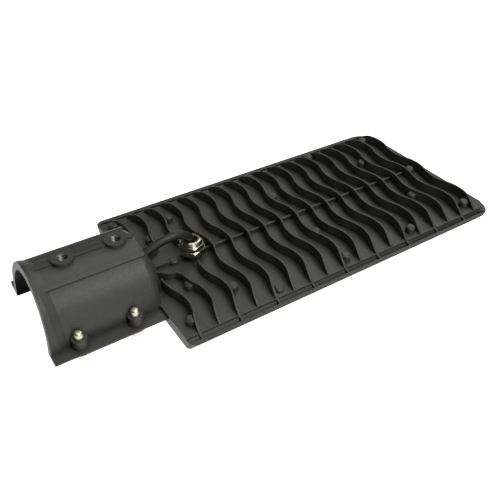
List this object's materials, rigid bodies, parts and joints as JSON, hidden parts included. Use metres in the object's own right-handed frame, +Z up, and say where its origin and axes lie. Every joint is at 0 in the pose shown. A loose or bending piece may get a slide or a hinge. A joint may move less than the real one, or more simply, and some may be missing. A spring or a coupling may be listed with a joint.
{
  "type": "led street light head",
  "caption": "Street light head: finned flat heat sink with an arched pole collar and clamp strap, cable gland and lead on top, lens plate and driver cover underneath.",
  "frame": {"origin": "centre of the pole mouth, on the axis of the arm that the collar takes", "axes": "+X along the arm's axis from the mouth into the head, +Z up through the finned top, +Y across the head"},
  "size_m": [0.359, 0.1606, 0.0747],
  "materials": {
    "casting": "dark grey powder coat, fine grain",
    "cover_plate": "dark grey powder coat, fine grain",
    "strap_steel": "dark grey powder coat on pressed steel",
    "screw_steel": "plain bright stainless steel",
    "nickel_brass": "nickel plated, bright",
    "seal_rubber": "matt black",
    "lead_sheath": "satin black",
    "core_sleeve": "satin, one brown, one blue, one green and yellow",
    "lens_clear": "clear, polished",
    "pad_silicone": "matt grey",
    "board_white": "white solder mask on an aluminium core",
    "chip_phosphor": "satin yellow",
    "board_green": "satin green solder mask",
    "tape_yellow": "satin tape round a dark core",
    "can_black": "gloss sleeve, bare top",
    "black_moulding": "satin black",
    "fuse_glass": "gloss",
    "varistor_blue": "satin blue",
    "terminal_grey": "satin light grey"
  },
  "bodies": {
    "root": {"housing": "casting", "clamp_strap": "strap_steel", "clamp_screws": "screw_steel", "gland_ring": "seal_rubber", "gland_body": "nickel_brass", "gland_sleeve": "seal_rubber", "gland_cap": "nickel_brass", "gland_lock_nut": "nickel_brass", "supply_lead": "lead_sheath", "pole_cores": "core_sleeve", "cover": "cover_plate", "cover_seal": "seal_rubber", "cover_screws": "screw_steel", "thermal_pad": "pad_silicone", "light_board": "board_white", "light_chips": "chip_phosphor", "board_screws": "screw_steel", "lens_plate": "lens_clear", "lens_seal": "seal_rubber", "driver_board": "board_green", "driver_screws": "screw_steel", "transformer": "tape_yellow", "capacitors": "can_black", "rectifier": "black_moulding", "fuse": "fuse_glass", "varistor": "varistor_blue", "terminal_block": "terminal_grey"}
  },
  "joints": []
}
